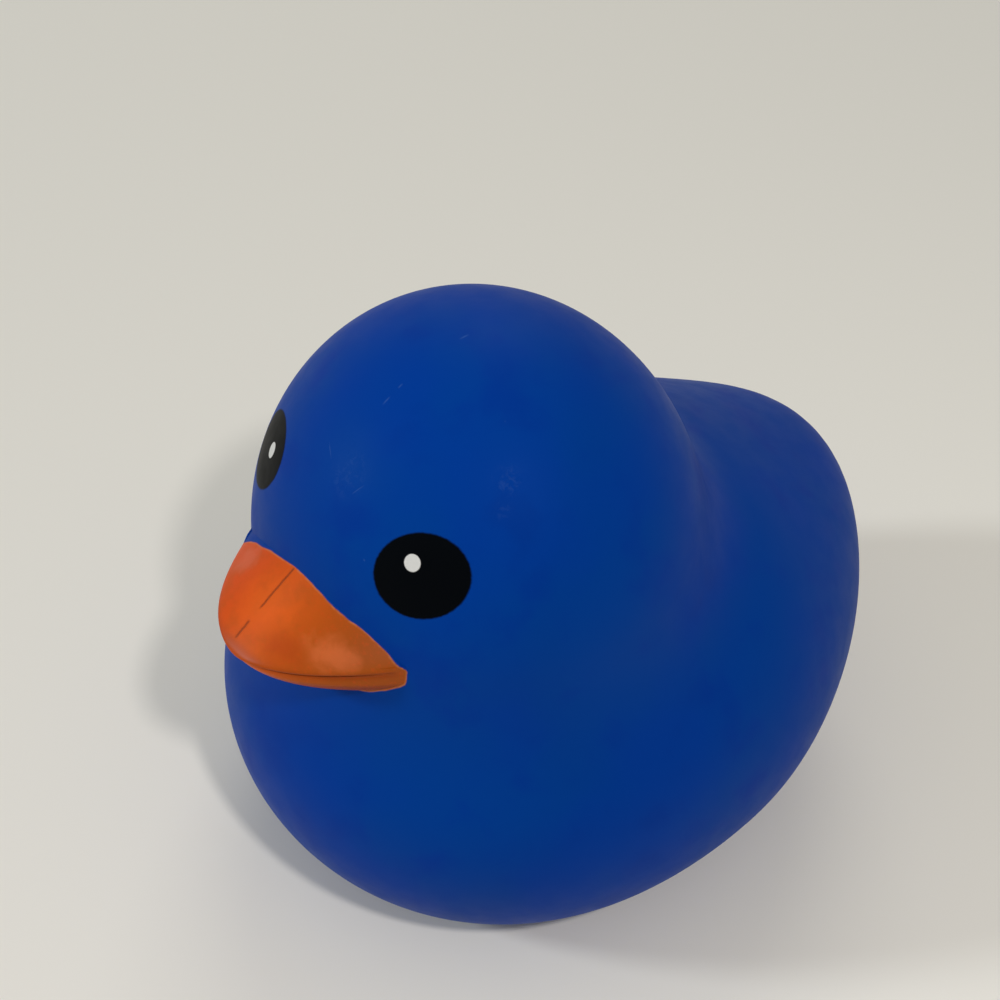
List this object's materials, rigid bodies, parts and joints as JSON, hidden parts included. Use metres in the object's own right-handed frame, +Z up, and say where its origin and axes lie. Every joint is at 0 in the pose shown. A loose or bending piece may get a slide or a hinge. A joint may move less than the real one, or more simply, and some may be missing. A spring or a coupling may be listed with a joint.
{
  "type": "rubber duck",
  "caption": "Hollow soft vinyl duck with a round head, a broad beak, a tipped-up tail and a flat base with a squeaker in it.",
  "frame": {"origin": "on the plane of the flat base, under the middle of the duck's overall length and width", "axes": "+Z up, -Y the way the beak points, +X the duck's own left side"},
  "size_m": [0.0688, 0.0884, 0.0712],
  "materials": {
    "blue_vinyl": "satin deep blue soft vinyl, with the beak sprayed orange and the eyes printed black with a white dot",
    "white_plug_plastic": "plain white moulded plastic",
    "black_block_plastic": "plain black moulded plastic",
    "reed_brass": "bright rolled brass strip"
  },
  "bodies": {
    "root": {"vinyl_shell": "blue_vinyl", "squeaker_plug": "white_plug_plastic", "reed_block": "black_block_plastic", "squeaker_reed": "reed_brass"}
  },
  "joints": []
}
